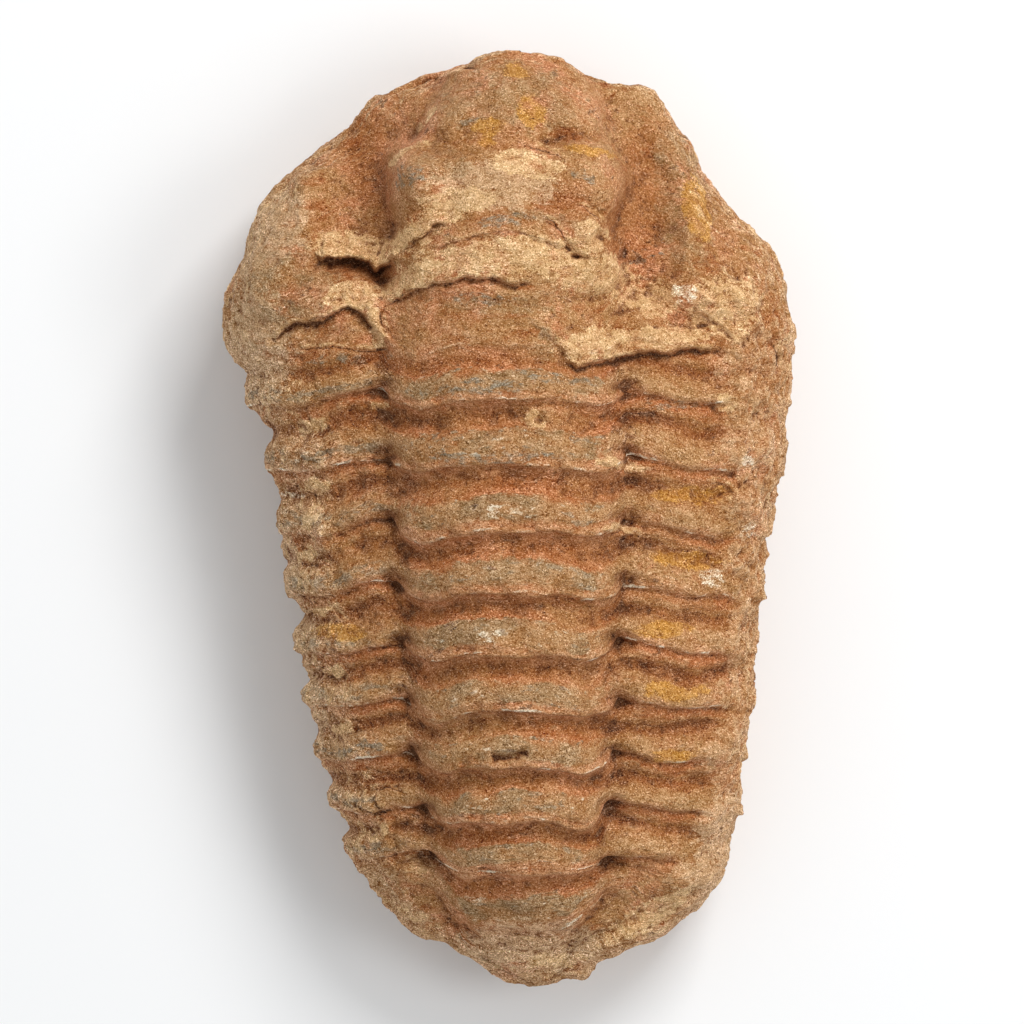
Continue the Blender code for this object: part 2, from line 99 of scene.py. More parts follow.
rings = {
    "firstEdge": 12.6,
    "neckPitch": 5.6,
    "firstPitch": 7.1,
    "taper": 0.965,             # each ring is this much shorter than the last
    "count": 8,
    "lastEdge": -44.0,
    "ringRelief": 1.55,
    "ribRelief": 1.2,
    # how far an edge lies forward across the lobe: share of the half width, mm
    "edgeShape": [(0.0, 0.15), (0.4, -0.05), (0.7, -0.75), (0.86, -0.3), (1.0, 1.2)],
    "tailBend": [(-46.0, 0.04), (-40.0, 0.037), (-35.2, 0.008), (-30.0, 0.003), (-22.0, 0.0), (20.0, 0.0)],
    # how far the ribs lie forward of their ring's edge
    "ribLead": [(-46.0, 2.0), (-37.0, 1.1), (-31.0, 0.9), (-25.0, 0.6), (-15.0, 0.0), (-5.0, -0.4),
                (20.0, -0.5)],
    "lastRib": -35.5,
    "tailStart": 39.0,          # from here on, counted tailwards, layers show on the tail
    # height from the edge before (0) to the own edge (1)
    "ringShape": [(0.0, 0.76), (0.03, 0.55), (0.08, 0.3), (0.14, 0.12), (0.21, 0.0), (0.31, 0.07),
                  (0.41, 0.34), (0.51, 0.66), (0.61, 0.87), (0.73, 0.97), (0.86, 1.0), (0.96, 1.0),
                  (0.99, 0.95), (1.0, 0.76)],
    "reliefFades": [(-48.0, 0.5), (-42.0, 0.75), (-34.0, 1.0), (20.0, 1.0)],
    "ribShape": [(0.0, 0.55), (0.05, 0.36), (0.15, 0.38), (0.25, 0.22), (0.35, 0.0), (0.45, 0.06),
                 (0.56, 0.4), (0.68, 0.75), (0.8, 0.95), (0.9, 1.0), (0.97, 0.86), (1.0, 0.55)],
    # how far the ribs' ends stand out of the sides, and where along each rib
    "standOut": (0.85, 0.6),
    "leftEnds": [(0.0, 0.42), (0.3, 0.1), (0.38, 0.0), (0.46, 0.3), (0.6, 1.0), (0.75, 0.85), (1.0, 0.42)],
    "rightEnds": [(0.0, 0.95), (0.04, 0.1), (0.1, 0.0), (0.4, 0.3), (0.8, 0.75), (0.97, 1.0), (1.0, 0.95)],
    "pitAhead": 1.2,
    "pitSize": (1.6, 1.2),
    "pitDepth": 1.2,
}

head = {
    # corners of the steep-sided nose lobe
    "noseLobe": [(-12.6, 23.5), (-12.9, 27.6), (-11.2, 31.2), (-12.2, 33.8), (-12.4, 36.6),
                 (-11.4, 39.2), (-9.4, 40.8), (-8.2, 43.0), (-7.2, 45.4), (-6.2, 47.4),
                 (-4.0, 51.0), (6.0, 51.2), (8.2, 47.6), (9.8, 45.6), (10.4, 43.2), (10.0, 40.8),
                 (12.0, 38.8), (12.9, 36.2), (11.8, 33.4), (10.8, 30.4), (12.4, 27.2), (12.2, 23.6)],
    "noseRise": 2.3,
    "noseSide": 0.8,
    "noseFades": [(22.0, 0.0), (31.0, 1.0), (42.0, 1.0), (50.0, 0.4)],
    # lumps and hollows: x, y, half width, half length, height, turn
    "lumps": [
        (0.3, 38.0, 11.0, 12.0, 3.6, 0), (0.6, 46.5, 7.0, 5.0, 1.4, 0),
        (-9.6, 36.8, 2.9, 3.3, 3.3, 10), (8.8, 36.0, 3.8, 3.6, 2.8, -10),
        (-6.4, 43.6, 2.6, 2.2, 1.7, 30), (7.6, 43.6, 3.4, 2.2, 1.6, -22),
        (-22.0, 28.5, 6.0, 8.0, 1.3, -28), (8.8, 30.8, 2.0, 1.9, 1.0, 0),
        (24.6, 22.4, 4.6, 3.6, 1.2, -20), (-12.6, 25.2, 2.3, 1.6, -1.5, 25),
        (10.1, 29.6, 0.9, 0.8, -1.9, 0), (20.5, 20.8, 3.4, 2.0, -0.9, 0),
        (7.5, 28.1, 0.5, 0.5, -1.1, 0), (6.8, 28.9, 0.45, 0.4, -0.9, 0),
        (22.4, 25.8, 1.6, 1.4, 0.7, 20), (26.8, 24.2, 1.8, 2.2, 0.8, -10)],
    # furrows and ridges: points, half width, height
    "folds": [
        ([(-8.4, 47.0), (-12.2, 43.4), (-15.4, 38.6), (-16.2, 34.0), (-15.4, 29.6)], 4.0, -2.6),
        ([(10.4, 46.4), (13.4, 42.2), (15.2, 37.0), (15.7, 31.0), (14.6, 26.0)], 3.6, -2.6),
        ([(4.4, 40.2), (6.2, 40.7), (8.2, 40.6), (10.0, 40.0)], 0.8, -1.0),
        ([(-11.4, 41.0), (-7.8, 40.0)], 1.4, -0.8),
        ([(-11.0, 45.6), (-16.2, 41.0), (-21.2, 35.4), (-24.6, 29.6), (-26.4, 24.0)], 2.6, 1.2),
        ([(10.8, 46.0), (14.8, 43.2), (18.2, 38.6), (20.3, 33.6), (20.8, 28.6), (20.2, 24.6)], 3.2, 1.3),
        ([(20.4, 34.7), (20.0, 31.4), (19.3, 27.8)], 0.7, 0.5),
        ([(22.5, 27.2), (23.8, 25.6), (25.2, 23.5)], 0.8, 0.7)],
}

# broken edges, from left to right
lipEdge = [(-20.4, 28.6), (-19.5, 27.8), (-18.8, 28.1), (-17.4, 27.9), (-15.8, 27.7), (-14.3, 27.3),
           (-13.5, 26.9), (-12.5, 27.3), (-11.5, 27.7)]
lipTail = [(-11.5, 27.7), (-10.5, 28.5), (-9.2, 29.6), (-8.1, 30.5), (-7.1, 31.0), (-5.2, 31.6)]
neckFront = [(-8.8, 27.6), (-5.8, 29.5), (-2.0, 30.2), (1.2, 30.2), (5.4, 29.1), (9.7, 27.4)]
neckRear = [(-13.3, 22.7), (-12.2, 22.9), (-10.9, 23.7), (-9.6, 24.2), (-7.9, 24.7), (-6.0, 24.9),
            (-4.3, 25.2), (-1.4, 25.4), (0.6, 25.1), (3.6, 25.1)]
cheekRear = [(-25.4, 18.8), (-23.6, 20.6), (-22.3, 21.2), (-20.7, 21.3), (-19.1, 21.5), (-18.1, 21.8),
             (-17.1, 22.1), (-16.3, 22.4), (-15.6, 22.2), (-15.1, 21.7), (-14.7, 21.0), (-14.3, 20.3),
             (-13.7, 19.5)]
tailLayer = [(-7.5, -41.6), (-5.0, -43.8), (-2.0, -45.6), (1.5, -46.5), (5.0, -46.4), (8.5, -45.0),
             (12.5, -42.6)]
tailTip = [(-3.4, -46.4), (-1.0, -47.6), (2.0, -48.2), (5.0, -48.0), (7.6, -46.8)]
plateRear = [(6.1, 16.9), (7.4, 16.2), (11.0, 17.1), (14.7, 17.6), (18.8, 17.8), (22.5, 18.1)]

# ledges: points, height before, its reach, drop behind, its reach
ledges = {
    "edges": [
        (lipEdge, 0.9, 2.2, 2.3, 1.8), (lipTail, 0.3, 1.6, 0.6, 1.2), (neckFront, 0.1, 1.2, 0.3, 0.8),
        (neckRear, 0.4, 1.6, 0.5, 0.8), (cheekRear, 0.4, 1.6, 0.8, 0.9), (plateRear, 0.5, 2.4, 0.4, 0.7),
        (tailLayer, 0.3, 1.2, 0.35, 0.8), (tailTip, 0.25, 1.0, 0.35, 0.7)],
    "bluntness": 0.16,
    "fadeIn": 2.2,              # from each end of a line
}

# thin plates of rock: corners, height, width of the edge
plates = {
    "corners": [
        ([(2.5, 21.4), (4.9, 20.3), (7.7, 19.8), (10.6, 21.4), (13.9, 22.0), (15.6, 20.2), (19.7, 20.0),
          (23.0, 20.7), (22.5, 18.1), (18.8, 17.9), (14.7, 17.7), (11.0, 17.2), (7.4, 16.3), (6.2, 17.0),
          (5.4, 18.9)], 0.5, 0.3),
        ([(20.5, 24.3), (23.4, 25.3), (26.3, 24.9), (27.0, 22.2), (25.9, 19.3), (24.1, 18.5), (22.5, 20.9),
          (20.5, 22.2)], 0.55, 0.35),
        ([(7.2, 29.2), (7.6, 31.0), (9.0, 31.9), (10.4, 31.2), (10.9, 29.8), (10.4, 28.6), (9.0, 28.0),
          (7.8, 28.1)], 0.4, 0.4),
        ([(-15.0, 24.4), (-13.2, 23.0), (-13.0, 21.0), (-12.2, 19.2), (-13.2, 18.7), (-14.2, 20.4),
          (-14.8, 22.0)], 0.7, 0.4),
        ([(2.0, 11.5), (3.8, 12.0), (6.3, 11.5), (6.1, 10.1), (4.4, 9.2), (2.8, 9.8)], 0.5, 0.35),
        ([(9.4, 6.0), (12.2, 7.2), (13.8, 6.3), (16.2, 5.6), (15.0, 4.9), (12.0, 5.1)], 0.5, 0.3),
        ([(10.4, -1.0), (12.4, -0.2), (14.6, -1.2), (12.4, -1.9)], 0.4, 0.3),
        ([(21.7, 13.2), (23.6, 13.7), (25.4, 13.0), (25.2, 11.7), (22.8, 11.4)], 0.5, 0.3),
        ([(-14.6, 12.6), (-12.6, 12.5), (-12.4, 11.6), (-14.2, 11.5)], 0.5, 0.3),
        ([(-21.8, 10.6), (-19.2, 10.4), (-19.0, 9.4), (-21.4, 9.2)], 0.4, 0.3),
        ([(-21.6, 4.2), (-18.8, 4.0), (-18.6, 3.0), (-21.2, 2.9)], 0.4, 0.3),
        ([(-14.6, -32.4), (-12.6, -32.2), (-12.2, -34.0), (-14.0, -34.6)], 0.6, 0.4),
        ([(-23.4, -3.0), (-21.6, -3.2), (-19.9, -4.6), (-21.4, -4.7), (-23.4, -4.1)], 0.6, 0.25),
        ([(-21.6, -9.2), (-19.2, -9.7), (-18.4, -10.9), (-20.2, -10.9), (-21.8, -10.4)], 0.6, 0.25),
        ([(-21.0, -15.4), (-18.2, -15.5), (-17.0, -16.6), (-19.0, -16.9), (-21.0, -16.4)], 0.6, 0.25),
        ([(-19.4, -21.6), (-17.2, -21.5), (-15.9, -22.4), (-17.4, -23.1), (-19.4, -22.7)], 0.6, 0.25),
        ([(-16.6, -27.0), (-14.6, -27.2), (-12.4, -28.2), (-14.2, -28.8), (-16.6, -28.2)], 0.5, 0.25),
        ([(-1.5, -24.7), (2.0, -24.7), (2.2, -25.5), (-1.3, -25.6)], -0.8, 0.22)],
}

# cracks: points, half width, depth
cracks = {
    "lines": [
        (neckRear, 0.1, 0.2), (cheekRear, 0.12, 0.25), (lipEdge, 0.14, 0.2), (lipTail, 0.1, 0.25),
        ([(-13.4, 22.4), (-13.2, 22.0), (-13.2, 21.3), (-12.9, 20.5), (-12.5, 19.8)], 0.2, 0.6),
        (neckFront, 0.08, 0.15), (plateRear, 0.1, 0.2),
        ([(1.2, 39.8), (3.2, 39.5), (5.4, 38.8), (7.0, 37.7)], 0.13, 0.3),
        ([(7.0, 33.3), (8.6, 32.8), (9.9, 32.0), (10.6, 30.9)], 0.15, 0.35),
        ([(3.3, 32.3), (5.4, 30.8), (6.4, 29.8), (7.1, 28.8)], 0.2, 0.4),
        ([(-22.3, 18.3), (-18.0, 18.1), (-15.0, 18.0), (-11.8, 17.9)], 0.14, 0.3),
        ([(-26.2, 14.6), (-26.5, 12.8), (-25.4, 10.8)], 0.15, 0.35),
        ([(28.4, 19.4), (28.9, 17.6), (29.2, 15.6)], 0.3, 0.6),
        ([(-23.9, 2.3), (-21.8, 2.2)], 0.14, 0.3),
        ([(-15.2, -28.9), (-12.6, -28.4), (-10.2, -29.2)], 0.2, 0.4),
        ([(-15.6, -29.4), (-16.2, -30.3), (-14.8, -31.2), (-12.0, -31.2)], 0.2, 0.5),
        ([(-13.6, -28.2), (-14.4, -29.6), (-13.4, -30.8), (-11.6, -31.0)], 0.16, 0.3),
        ([(21.2, 3.9), (22.8, 3.9), (23.9, 3.4), (24.5, 2.8), (23.8, 2.5), (22.6, 2.4)], 0.14, 0.25),
        ([(-20.2, -4.0), (-18.8, -4.9), (-18.2, -5.7)], 0.16, 0.3),
        ([(-19.0, -9.5), (-18.2, -10.4), (-16.4, -11.2)], 0.14, 0.25),
        ([(-22.6, 2.4), (-21.4, 2.7), (-20.2, 2.2)], 0.14, 0.3),
        ([(10.6, -1.9), (12.6, -1.4), (15.2, -2.2)], 0.12, 0.2),
        ([(9.4, 4.9), (12.0, 5.3), (15.4, 4.9)], 0.12, 0.2)],
}

# the crust of rock over the rib ends on the right: y, x of its inner border
crust = {
    "border": [(24.0, 21.0), (16.0, 23.4), (3.0, 24.6), (-10.0, 24.0), (-22.0, 23.2), (-33.0, 21.2),
               (-40.0, 17.0), (-44.5, 12.0), (-48.0, 7.0)],
    "rise": 0.7,
}

# where in the noise each kind of wear is read
shifts = {
    "drawn": 11.3, "ragged": 5.7, "sideways": 36.6, "flakes": 5.1, "layers": 13.9, "grit": 3.7,
    "coarse": 17.3, "pits": 23.0, "notches": 31.0, "wide": 41.0, "blotch": 47.0,
}

# wear of the surface: size, height
wear = {
    "wander": [(6.5, 0.5), (1.9, 0.13)],        # how lines stray from their drawn course
    "ragged": [(1.8, 0.34), (0.6, 0.15)],       # and how much more the broken edges do
    "flakes": (5.0, 0.5),                       # terraces on the flanks and the crust
    "flakeSteps": 5,
    "flakeStretch": (0.7, 1.5, 1.2),
    "layers": [(1.1, 0.2), (0.45, 0.08)],       # thin level layers that show on steep sides
    "layerStretch": (0.1, 0.1, 1.0),
    "coarse": [(2.1, 0.42), (0.9, 0.2)],       # where the rock is freshly broken
    "coarsePlaces": [
        (25.6, -4.0, 1.8, 24.0, 2),
        (12.5, 26.0, 7.5, 3.6, 0), (10.5, 19.0, 6.0, 2.2, 8), (24.0, 21.5, 5.0, 5.5, 0),
        (-15.4, 28.6, 5.4, 1.4, -8), (-15.0, 23.6, 3.6, 2.0, 0), (-21.5, -8.0, 1.4, 22.0, 8),
        (-12.5, -36.0, 4.0, 6.0, 20), (27.5, 17.0, 2.4, 7.0, 0),
        (3.3, 10.6, 1.6, 1.4, 0)],
    "grit": [(1.7, 0.1), (0.7, 0.045)],
    "pits": (1.0, 0.1),
    "notches": (2.6, 0.18),                      # chips out of the ring edges
}


def smoothStep(low, high, value):
    t = np.clip((value - low) / (high - low), 0, 1)
    return t * t * (3 - 2 * t)


def through(knots, at):     # a smooth curve through (position, value) knots
    position, value = np.array(sorted(knots), float).T
    slope = np.diff(value) / np.diff(position)
    product = slope[:-1] * slope[1:]
    total = np.where(product > 0, slope[:-1] + slope[1:], 1)
    tangent = np.concatenate([slope[:1], np.where(product > 0, 2 * product / total, 0), slope[-1:]])
    at = np.clip(at, position[0], position[-1])
    i = np.clip(np.searchsorted(position, at) - 1, 0, len(position) - 2)
    width = position[i + 1] - position[i]
    t = (at - position[i]) / width
    bend = width * t * (1 - t) * ((1 - t) * tangent[i] - t * tangent[i + 1])
    step = t * t * (3 - 2 * t)
    return value[i] * (1 - step) + value[i + 1] * step + bend


def rock(places, size, octaves=3, shift=0.0):       # uneven numbers around 0
    spread = (places / size + shift).tolist()
    return np.array([noise.fractal(place, 1, 2, octaves) for place in spread])


def spotRadius(x, y, centreX, centreY, halfWidth, halfLength, turn):    # 1 on the rim
    c, s = cos(radians(turn)), sin(radians(turn))
    u = ((x - centreX) * c + (y - centreY) * s) / halfWidth
    v = ((y - centreY) * c - (x - centreX) * s) / halfLength
    return np.hypot(u, v)


def lump(x, y, centreX, centreY, halfWidth, halfLength, height, turn):
    return height * (1 - smoothStep(0, 1.6, spotRadius(x, y, centreX, centreY, halfWidth, halfLength, turn)))


def lineDistance(x, y, points, reach):      # distance, side (above 0 on the left), way to the nearer end
    nearest = np.full(x.shape, np.inf)
    side = np.zeros(x.shape)
    way = np.zeros(x.shape)
    lengths = np.hypot(*np.diff(points, axis=0).T)
    low, high = np.min(points, axis=0) - reach, np.max(points, axis=0) + reach
    near = np.flatnonzero((x > low[0]) & (x < high[0]) & (y > low[1]) & (y < high[1]))
    nearX, nearY = x[near], y[near]
    for number, ((ax, ay), (bx, by)) in enumerate(zip(points[:-1], points[1:])):
        dx, dy = bx - ax, by - ay
        t = np.clip(((nearX - ax) * dx + (nearY - ay) * dy) / (dx * dx + dy * dy), 0, 1)
        distance = np.hypot(nearX - ax - t * dx, nearY - ay - t * dy)
        closer = distance < nearest[near]
        side[near] = np.where(closer, dx * (nearY - ay) - dy * (nearX - ax), side[near])
        way[near] = np.where(closer, lengths[:number].sum() + t * lengths[number], way[near])
        nearest[near] = np.where(closer, distance, nearest[near])
    return nearest, side, np.minimum(way, lengths.sum() - way)


def fold(x, y, points, halfWidth, height):
    distance, _, _ = lineDistance(x, y, points, 1.6 * halfWidth)
    return height * (1 - smoothStep(0, 1.6, distance / halfWidth))


def ledge(x, y, points, height, reach, drop, reachBehind):
    distance, side, way = lineDistance(x, y, points, 1.6 * max(reach, reachBehind))
    before = height * (1 - smoothStep(0, 1.6, distance / reach))
    behind = -drop * (1 - smoothStep(0, 1.6, distance / reachBehind))
    overEdge = smoothStep(-ledges["bluntness"], ledges["bluntness"], np.sign(side) * np.minimum(distance, 9))
    return (behind + (before - behind) * overEdge) * smoothStep(0, ledges["fadeIn"], way)


def plateau(x, y, corners, height, sideWidth):
    distance, _, _ = lineDistance(x, y, corners + corners[:1], sideWidth)
    inside = np.zeros(x.shape, bool)
    for (ax, ay), (bx, by) in zip(corners, corners[1:] + corners[:1]):
        crosses = (ay > y) != (by > y)
        inside ^= crosses & (x < ax + (bx - ax) * (y - ay) / (by - ay + 1e-9))
    signed = np.where(inside, 1, -1) * np.minimum(distance, 9)
    return height * smoothStep(-sideWidth, sideWidth, signed)


def crack(x, y, points, halfWidth, depth):
    distance, _, way = lineDistance(x, y, points, halfWidth)
    return -depth * np.clip(1 - distance / halfWidth, 0, 1) ** 0.7 * (0.25 + 0.75 * smoothStep(0, 1.6, way))


def axisAt(y):
    left = through([(row[0], row[1]) for row in axis["furrows"]], y)
    right = through([(row[0], row[2]) for row in axis["furrows"]], y)
    return (left + right) / 2, (right - left) / 2


def ringEdges():        # y of each rear edge on the middle line, neck to tail
    first, taper = rings["firstEdge"], rings["taper"]
    edges = [first + 2 * rings["neckPitch"], first + rings["neckPitch"], first]
    for n in range(1, rings["count"] + 1):
        edges.append(first - rings["firstPitch"] * (1 - taper**n) / (1 - taper))
    return edges + [rings["lastEdge"], -stone["half"] - 2]


def ringPlace(x, y):    # the way tailwards, bent as the rings are; and the share of the half width
    middle, halfWidth = axisAt(y)
    across = np.abs(x - middle) / halfWidth
    own = 1 + 0.45 * np.sin(1.9 * y * 0.15 + 1.3 * np.sign(x - middle)) * np.sin(0.63 * y)
    bend = through(rings["tailBend"], y) * (x - middle) ** 2 + own * through(rings["edgeShape"], across)
    beside = smoothStep(1, 1.7, across)
    lead = bend * (1 - beside) + through(rings["ribLead"], y) * beside
    return lead - y, across, halfWidth


def ringCount(x, y):    # grows by 1 from edge to edge, tailwards
    tailwards, across, halfWidth = ringPlace(x, y)
    edges = np.array(ringEdges())
    return np.interp(tailwards, -edges, np.arange(len(edges))), across, halfWidth


def stoneShare(x, y):       # 0 on the middle line, 1 on the outline
    left = through([(row[0], row[1]) for row in stone["outline"]], y)
    right = through([(row[0], row[2]) for row in stone["outline"]], y)
    return np.abs(2 * x - left - right) / np.maximum(right - left, 1)


def crustShare(x, y):
    uneven = 0.9 * np.sin(0.93 * y + 1.1 * np.sin(0.37 * y))
    return smoothStep(-1.6, 0.7, x + uneven - through(crust["border"], y)) * (1 - smoothStep(17, 24, y))


def ringRelief(x, y, facingUp, chips):
    count, across, halfWidth = ringCount(x, y)
    middle, _ = axisAt(y)
    along = count % 1
    grown = smoothStep(0.4, 2.2, count) * smoothStep(-48.5, -45, y)
    onAxis = 1 - smoothStep(0.8, 1.06, across)
    covered = crustShare(x, y)
    onFlank = (0.7 + 0.3 * np.clip(facingUp, 0, 1)) * smoothStep(-0.8, -0.1, facingUp)
    onFlank = onFlank * (1 - covered) * smoothStep(rings["lastRib"] - 2.5, rings["lastRib"], y)
    ring = rings["ringRelief"] * (through(rings["ringShape"], along) - 0.6) * through(rings["reliefFades"], y)
    rib = rings["ribRelief"] * (through(rings["ribShape"], along) - 0.6) * onFlank
    edge = smoothStep(0.72, 0.92, along) * (1 - smoothStep(0.97, 1.0, along))
    ring = ring - edge * np.clip(chips, 0, 1)
    rib = rib - 0.6 * edge * np.clip(chips, 0, 1) * onFlank
    left, right = (far * (through(rings[name], along) - 0.45) for far, name in
                   zip(rings["standOut"], ("leftEnds", "rightEnds")))
    own = 0.65 + 0.5 * np.sin(1.7 * np.floor(count) + np.sign(x - middle))
    standOut = np.where(x < middle, left, right) * (1 - smoothStep(0.1, 0.6, np.abs(facingUp)))
    standOut = standOut * smoothStep(1.2, 1.6, across) * smoothStep(-44, -38, y) * own
    onTop = crust["rise"] * covered
    pitWidth, pitLength = rings["pitSize"]
    for edgeY in ringEdges()[2:-2]:
        u = (across - 1) * halfWidth / pitWidth
        v = (y - edgeY - rings["pitAhead"]) / pitLength
        onTop = onTop - rings["pitDepth"] * (1 - smoothStep(0, 1.6, np.hypot(u, v)))
    return grown * (onAxis * ring + (1 - onAxis) * rib + standOut) + onTop * smoothStep(-0.4, 0.2, facingUp)


def backRelief(x, y):
    middle, halfWidth = axisAt(y)
    across = np.clip(np.abs(x - middle) / halfWidth, 0, 1)
    relief = through(axis["rise"], y) * (1 - across**2.4) ** 1.25
    nose = plateau(x, y, head["noseLobe"], head["noseRise"], head["noseSide"])
    relief += nose * through(head["noseFades"], y)
    relief += sum(lump(x, y, *place) for place in head["lumps"])
    return relief + sum(fold(x, y, *line) for line in head["folds"])


def brokenRelief(x, y):
    relief = sum(ledge(x, y, *line) for line in ledges["edges"])
    relief = relief + sum(plateau(x, y, *plate) for plate in plates["corners"])
    return relief + sum(crack(x, y, *line) for line in cracks["lines"])


def tipPace(way):       # 0 to 1 at a steady pace that starts and ends slowly
    slow = stone["slowAtTips"]
    start = way**2 / (2 * slow)
    end = 1 - slow - (1 - way) ** 2 / (2 * slow)
    pace = np.where(way < slow, start, np.where(way > 1 - slow, end, way - slow / 2))
    return pace / (1 - slow)


def plainStone(ball):   # moves the points of a unit ball with its poles on Y
    half = stone["half"]
    way = np.arccos(np.clip(ball[:, 1], -1, 1)) / pi
    y = half * (1 - 2 * tipPace(way))
    turn = np.arccos(np.clip(y / half, -1, 1))

    def read(rows, column):
        return through([(np.arccos(row[0] / half), row[column]) for row in rows], turn)

    left, right = read(stone["outline"], 1), read(stone["outline"], 2)
    waist, rise, drop = (read(stone["profile"], column) for column in (1, 2, 3))
    middle, _ = axisAt(y)
    fromTop = np.abs(np.arctan2(ball[:, 0], ball[:, 2])) / pi
    share = stone["backShare"]
    onBack = fromTop < share
    lean = np.where(onBack, fromTop / share, (1 - fromTop) / (1 - share)) * pi / 2
    power = np.where(onBack, stone["backRounding"], stone["bellyRounding"])
    reach = np.where(ball[:, 0] > 0, right - middle, left - middle)
    x = middle + reach * np.clip(np.sin(lean), 0, 1) ** power
    z = waist + np.where(onBack, rise, -drop) * np.clip(np.cos(lean), 0, 1) ** power
    return np.column_stack([x, y, z])


def readPoints(mesh):
    points = np.empty(3 * len(mesh.vertices))
    mesh.vertices.foreach_get("co", points)
    return points.reshape(-1, 3)


def readNormals(mesh):
    outward = np.empty(3 * len(mesh.vertices))
    mesh.vertex_normals.foreach_get("vector", outward)
    return outward.reshape(-1, 3)


def writePoints(mesh, points):
    mesh.vertices.foreach_set("co", points.ravel())
    mesh.update()


def strayed(places, waves, shift):      # where a place reads the drawn lines, so that they run unevenly
    x, y = places[:, 0].copy(), places[:, 1].copy()
    for number, (size, far) in enumerate(waves):
        x += far * rock(places, size, 2, shift + number)
        y += far * rock(places, size, 2, shift + shifts["sideways"] + number)
    return x, y


def drawnPlaces(places):    # for the rings and lobes, and for broken edges
    x, y = strayed(places, wear["wander"], shifts["drawn"])
    moved = np.column_stack([x, y, places[:, 2]])
    roughX, roughY = strayed(moved, wear["ragged"], shifts["ragged"])
    return x, y, roughX, roughY


def terrace(value, steps):      # turns a slope into flat steps with short cliffs
    level = np.floor(value * steps)
    return (level + smoothStep(0.7, 1.0, value * steps - level)) / steps


def flakyShare(x, y, facingUp):     # where thin layers of rock break off
    flank = 1 - smoothStep(0.35, 0.75, facingUp)
    left = smoothStep(3.5, 9.0, -9.5 - x) * 0.8
    tail = smoothStep(-38, -44, y)
    block = 1 - smoothStep(0.7, 1.3, spotRadius(x, y, 24.5, 22.0, 6.5, 9.0, 0))
    return np.clip(np.maximum.reduce([flank, left, crustShare(x, y), tail, block]), 0, 1)


def shapeStone(mesh):
    places = plainStone(readPoints(mesh))
    writePoints(mesh, places)
    outward = readNormals(mesh)
    facingUp = outward[:, 2]
    x, y, roughX, roughY = drawnPlaces(places)
    onBelly = 1 - smoothStep(-0.5, 0.3, facingUp)
    print("stone: noise for lumps, flakes and grit")
    uneven = 0
    for size, onBack, under in stone["lumps"]:
        uneven = uneven + rock(places, size) * (onBack + (under - onBack) * onBelly)
    flakeSize, flakeHeight = wear["flakes"]
    flakes = rock(places * wear["flakeStretch"], flakeSize, 4, shifts["flakes"]) * 0.5 + 0.5
    flakes = terrace(flakes, wear["flakeSteps"])
    uneven += flakeHeight * (flakes - 0.5) * (0.25 + 0.75 * flakyShare(x, y, facingUp)) * 2
    steep = 1 - smoothStep(0.3, 0.8, facingUp)
    for size, height in wear["layers"]:
        uneven += height * rock(places * wear["layerStretch"], size, 2, shifts["layers"]) * steep
    for size, height in wear["grit"]:
        uneven += height * rock(places, size, 3, shifts["grit"])
    broken = patchShare(x, y, wear["coarsePlaces"])
    for size, height in wear["coarse"]:
        uneven += height * rock(places, size, 3, shifts["coarse"]) * broken
    pitSize, pitDepth = wear["pits"]
    uneven -= pitDepth * smoothStep(0.28, 0.6, rock(places, pitSize, 2, shifts["pits"]))
    notchSize, notchDepth = wear["notches"]
    chips = notchDepth * smoothStep(0.1, 0.5, rock(places, notchSize, 3, shifts["notches"])) * 2
    print("stone: head, rings, ribs, ledges and cracks")
    outwards = ringRelief(x, y, facingUp, chips) + uneven
    upwards = (backRelief(x, y) + brokenRelief(roughX, roughY)) * smoothStep(-0.1, 0.4, facingUp)
    places = places + outward * outwards[:, None]
    places[:, 2] += upwards
    below = stone["restsBelow"]
    places[:, 2] = 0.5 * (places[:, 2] + np.sqrt(places[:, 2] ** 2 + below**2))
    writePoints(mesh, places)


def fitted(places):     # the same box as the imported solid
    low, high = places.min(axis=0), places.max(axis=0)
    cadLow, cadHigh = np.array(cadBox[0]), np.array(cadBox[1])
    return (places - low) / (high - low) * (cadHigh - cadLow) + cadLow


def makeStone():
    mesh = bpy.data.meshes.new("trilobite")
    body = bmesh.new()
    bmesh.ops.create_uvsphere(body, u_segments=stone["around"], v_segments=stone["along"], radius=1)
    bmesh.ops.subdivide_edges(body, edges=body.edges, cuts=stone["cuts"], use_grid_fill=True)
    bmesh.ops.rotate(body, verts=body.verts, matrix=Matrix.Rotation(-pi / 2, 3, "X"))
    body.to_mesh(mesh)
    body.free()
    ball = readPoints(mesh)
    writePoints(mesh, ball / np.linalg.norm(ball, axis=1)[:, None])
    shapeStone(mesh)
    piece = bpy.data.objects.new("trilobite", mesh)
    bpy.context.collection.objects.link(piece)
    print("stone: thinning")
    thin = piece.modifiers.new("Thin", "DECIMATE")
    thin.ratio = stone["triangles"] / sum(len(face.vertices) - 2 for face in mesh.polygons)
    shaped = bpy.data.meshes.new_from_object(piece.evaluated_get(bpy.context.evaluated_depsgraph_get()))
    piece.modifiers.clear()
    piece.data = shaped
    bpy.data.meshes.remove(mesh)
    shaped.name = "trilobite"
    shaped.shade_smooth()
    return piece


